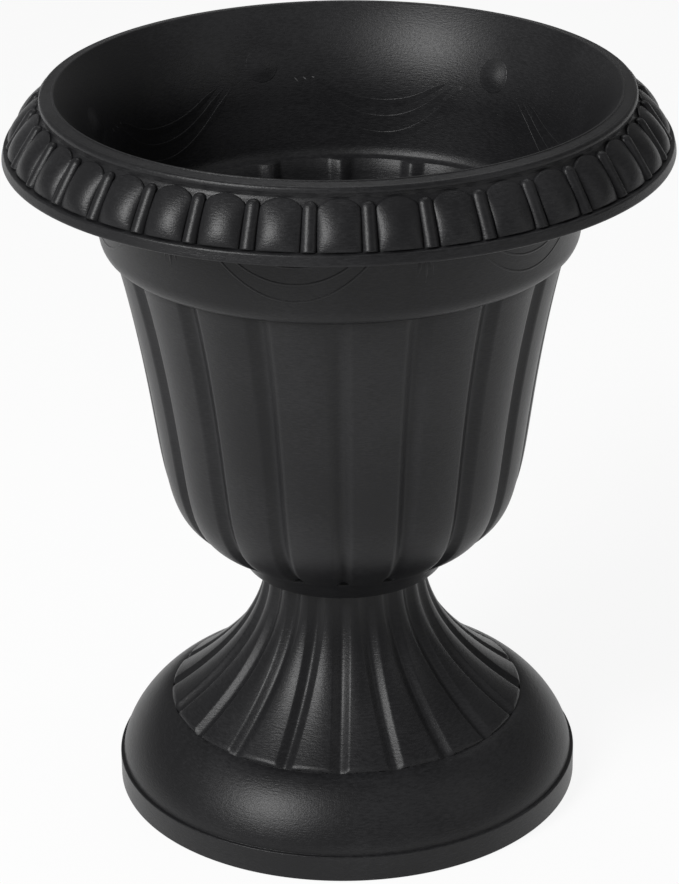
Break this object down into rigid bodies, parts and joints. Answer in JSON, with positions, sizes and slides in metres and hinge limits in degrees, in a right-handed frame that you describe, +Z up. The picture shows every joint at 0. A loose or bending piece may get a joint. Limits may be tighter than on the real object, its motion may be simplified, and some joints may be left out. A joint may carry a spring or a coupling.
{
  "type": "urn planter",
  "caption": "Classical pedestal urn planter with a rolled egg-and-dart rim, a panelled bowl that lifts off a fluted flaring pedestal, and a push-in drain plug.",
  "frame": {"origin": "centre of the ring-shaped face that the pedestal stands on", "axes": "+Z up along the axis of the urn, -Y towards the viewer of the picture"},
  "size_m": [0.266, 0.266, 0.3051],
  "materials": {
    "moulded_plastic": "satin black moulded plastic with faint flow marks",
    "plug_rubber": "matt black"
  },
  "bodies": {
    "base": {"pedestal": "moulded_plastic"},
    "urn": {"bowl": "moulded_plastic"},
    "plug": {"drain_plug": "plug_rubber"}
  },
  "joints": [
    {"name": "bowl_lift", "type": "slide", "parent": "base", "child": "urn", "axis": [0, 0, 1], "range_m": [0, 0.06]},
    {"name": "plug_pull", "type": "slide", "parent": "urn", "child": "plug", "axis": [0, 0, 1], "range_m": [0, 0.03]}
  ]
}
